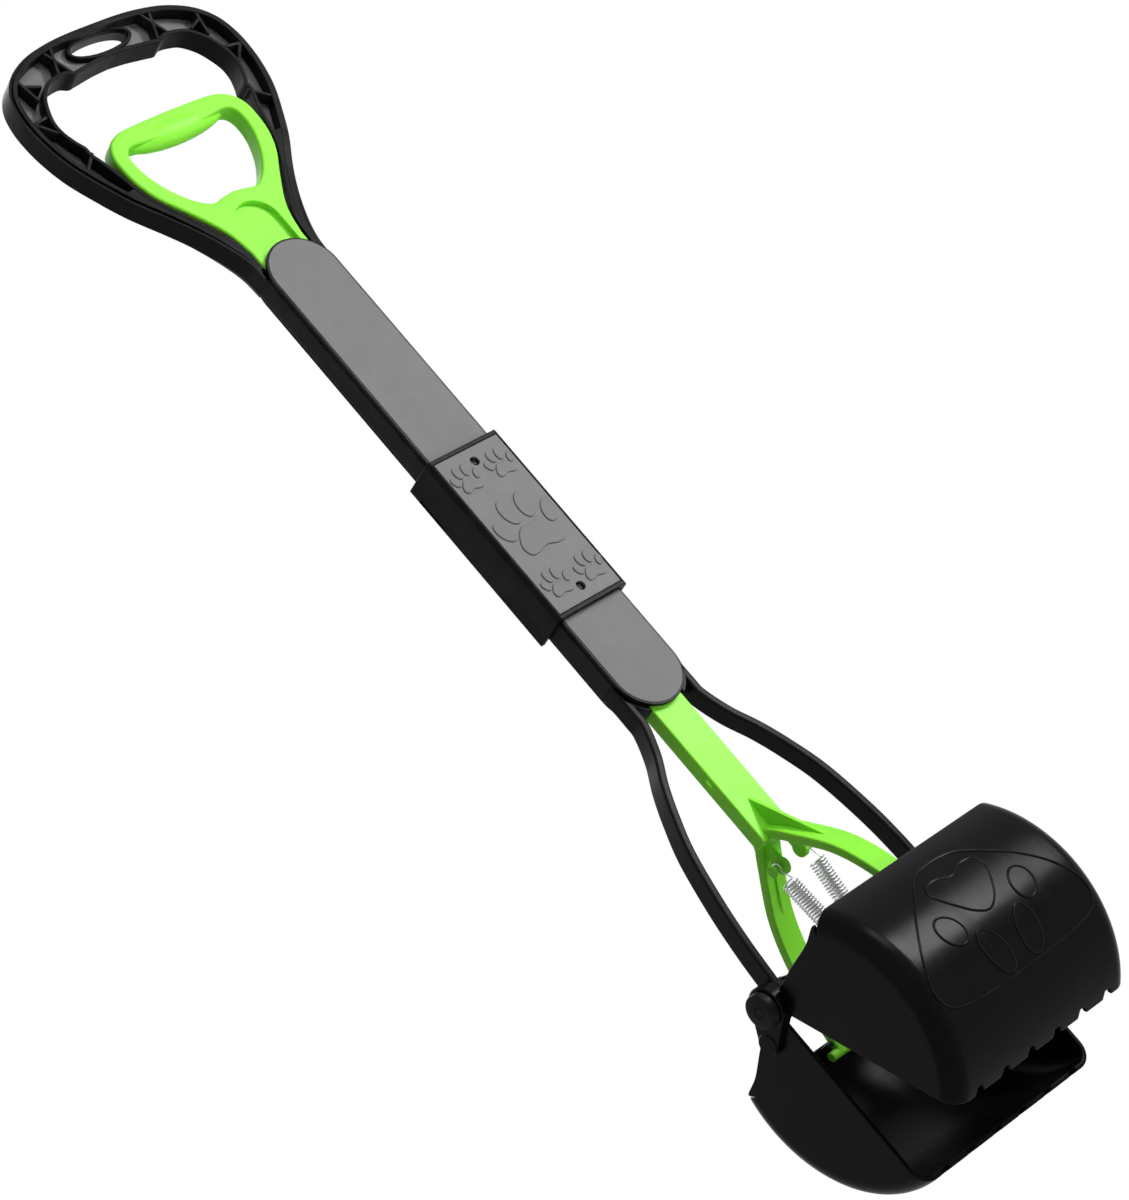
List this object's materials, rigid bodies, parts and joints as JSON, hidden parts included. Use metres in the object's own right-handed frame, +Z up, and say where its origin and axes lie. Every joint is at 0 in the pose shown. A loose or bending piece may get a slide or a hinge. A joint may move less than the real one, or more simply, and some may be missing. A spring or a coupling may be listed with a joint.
{
  "type": "folding jaw litter scoop",
  "caption": "Long-handled folding scoop: a D-handle with a pull trigger opens two toothed jaws at the foot of a flat shaft that folds at a sleeved hinge.",
  "frame": {"origin": "centre of the hanging slot in the top bar of the black handle", "axes": "+Z up the shaft towards the handle, -Y to the front (the side with the plain grey covers and the raised jaw emblem), +X to the right seen from the back"},
  "size_m": [0.1452, 0.148, 0.7011],
  "materials": {
    "black_plastic": "satin black moulded plastic",
    "rail_black": "satin black moulded plastic",
    "grey_cover": "fine-grained dark grey plastic",
    "grey_rear_cover": "fine-grained dark grey plastic",
    "sleeve_black": "satin black moulded plastic",
    "sleeve_face_grey": "fine-grained dark grey plastic",
    "trigger_green": "bright yellow-green semi-gloss plastic",
    "rod_green": "bright yellow-green semi-gloss plastic",
    "knuckle_grey": "mid grey plastic",
    "bright_steel": "bright plated steel",
    "black_screw": "black zinc-coated steel",
    "gloss_black_jaw": "gloss black moulded plastic",
    "gloss_black_rear_jaw": "gloss black moulded plastic",
    "bush_black": "matte black plastic"
  },
  "bodies": {
    "upper_frame": {"handle_frame": "black_plastic", "upper_front_cover": "grey_cover", "upper_rear_cover": "grey_rear_cover", "upper_cover_screw_1": "black_screw", "upper_cover_screw_2": "black_screw", "upper_cover_screw_3": "black_screw", "upper_cover_screw_4": "black_screw", "hinge_pin_left": "bright_steel", "hinge_pin_right": "bright_steel"},
    "sleeve": {"sleeve_shell": "sleeve_black", "sleeve_face": "sleeve_face_grey", "sleeve_rear_bridge": "sleeve_black", "sleeve_screw_upper": "black_screw", "sleeve_screw_lower": "black_screw"},
    "trigger": {"trigger_handle": "trigger_green", "rod_knuckle": "knuckle_grey", "rod_pin": "bright_steel"},
    "lower_frame": {"left_rail": "rail_black", "right_rail": "rail_black", "lower_front_cover": "grey_cover", "lower_rear_cover": "grey_rear_cover", "lower_cover_screw_1": "black_screw", "lower_cover_screw_2": "black_screw", "lower_cover_screw_3": "black_screw", "lower_cover_screw_4": "black_screw", "jaw_axle": "bright_steel", "axle_cap_left": "black_screw", "axle_cap_right": "black_screw", "front_spring": "bright_steel", "rear_spring": "bright_steel"},
    "lower_rod": {"lower_rod": "rod_green"},
    "rear_jaw": {"rear_jaw": "gloss_black_rear_jaw"},
    "front_jaw": {"front_jaw": "gloss_black_jaw", "front_jaw_bush_left": "bush_black", "front_jaw_bush_right": "bush_black"}
  },
  "joints": [
    {"name": "fold", "type": "hinge", "parent": "upper_frame", "child": "lower_frame", "pos_m": [0, 0.0033, -0.3315], "axis": [1, 0, 0], "range_deg": [0, 145]},
    {"name": "sleeve_slide", "type": "slide", "parent": "upper_frame", "child": "sleeve", "axis": [0, 0, 1], "range_m": [0, 0.065]},
    {"name": "trigger_pull", "type": "slide", "parent": "upper_frame", "child": "trigger", "axis": [0, 0, 1], "range_m": [0, 0.028], "stiffness_N_per_m": 120, "springref_m": -0.06},
    {"name": "lower_rod_slide", "type": "slide", "parent": "lower_frame", "child": "lower_rod", "axis": [0, 0, 1], "range_m": [0, 0.028], "deforming": ["front_spring", "rear_spring"]},
    {"name": "rear_jaw_swing", "type": "hinge", "parent": "lower_frame", "child": "rear_jaw", "pos_m": [0, 0.0027, -0.5845], "axis": [1, 0, 0], "range_deg": [0, 28]},
    {"name": "front_jaw_swing", "type": "hinge", "parent": "lower_frame", "child": "front_jaw", "pos_m": [0, 0.0027, -0.5845], "axis": [1, 0, 0], "range_deg": [-28, 29]}
  ],
  "couplings": [
    {"joint": "lower_rod_slide", "follows": "trigger_pull", "ratio": 1},
    {"joint": "rear_jaw_swing", "follows": "trigger_pull", "rad_per_m": 17.24}
  ]
}
